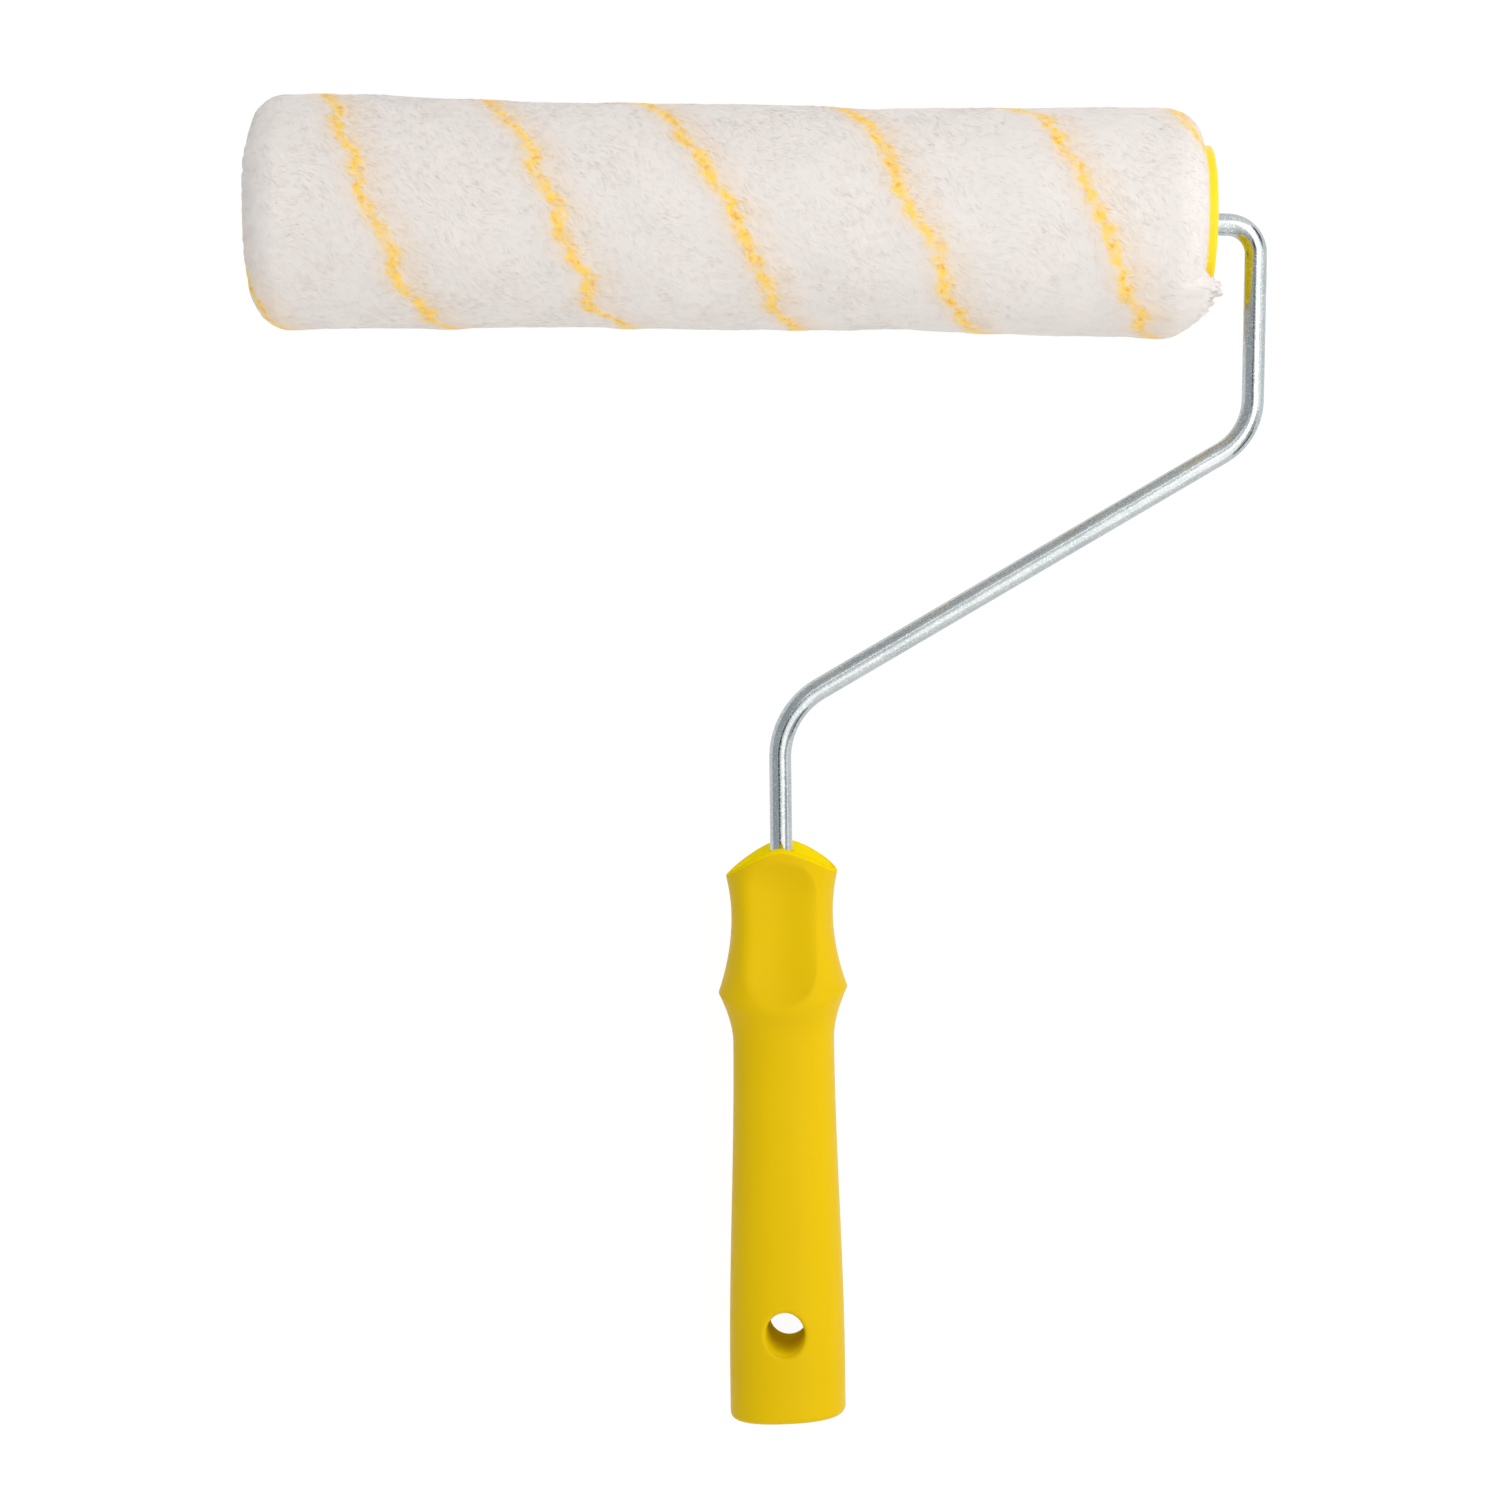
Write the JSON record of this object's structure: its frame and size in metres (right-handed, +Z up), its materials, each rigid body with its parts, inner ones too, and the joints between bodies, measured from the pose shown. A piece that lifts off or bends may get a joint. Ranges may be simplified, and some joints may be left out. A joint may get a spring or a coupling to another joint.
{
  "type": "paint roller",
  "caption": "Paint roller: long white pile sleeve with yellow caps, spinning on a bent zinc wire frame with a yellow moulded handle and hang hole.",
  "frame": {"origin": "middle of the bounding box at the surface that the roller lies on", "axes": "+Y from the handle's butt to the sleeve, +X along the axle towards the wire's first bend, +Z up"},
  "size_m": [0.2712, 0.3544, 0.062],
  "materials": {
    "handle_plastic": "satin moulded polypropylene",
    "zinc_wire": "bright zinc plate with drawing lines",
    "zinc_washer": "bright zinc plate",
    "spring_steel": "blued spring steel",
    "cap_plastic": "smooth moulded",
    "core_plastic": "plain extruded",
    "pile_fabric": "long soft pile with a yellow marker stripe"
  },
  "bodies": {
    "frame": {"handle": "handle_plastic", "wire_frame": "zinc_wire", "near_washer": "zinc_washer", "far_washer": "zinc_washer", "push_nut": "spring_steel"},
    "sleeve": {"near_end_cap": "cap_plastic", "far_end_cap": "cap_plastic", "core_tube": "core_plastic", "pile_cover": "pile_fabric"}
  },
  "joints": [
    {"name": "sleeve_spin", "type": "hinge", "parent": "frame", "child": "sleeve", "pos_m": [-0.0079, 0.14621, 0.031], "axis": [1, 0, 0], "continuous": true}
  ]
}
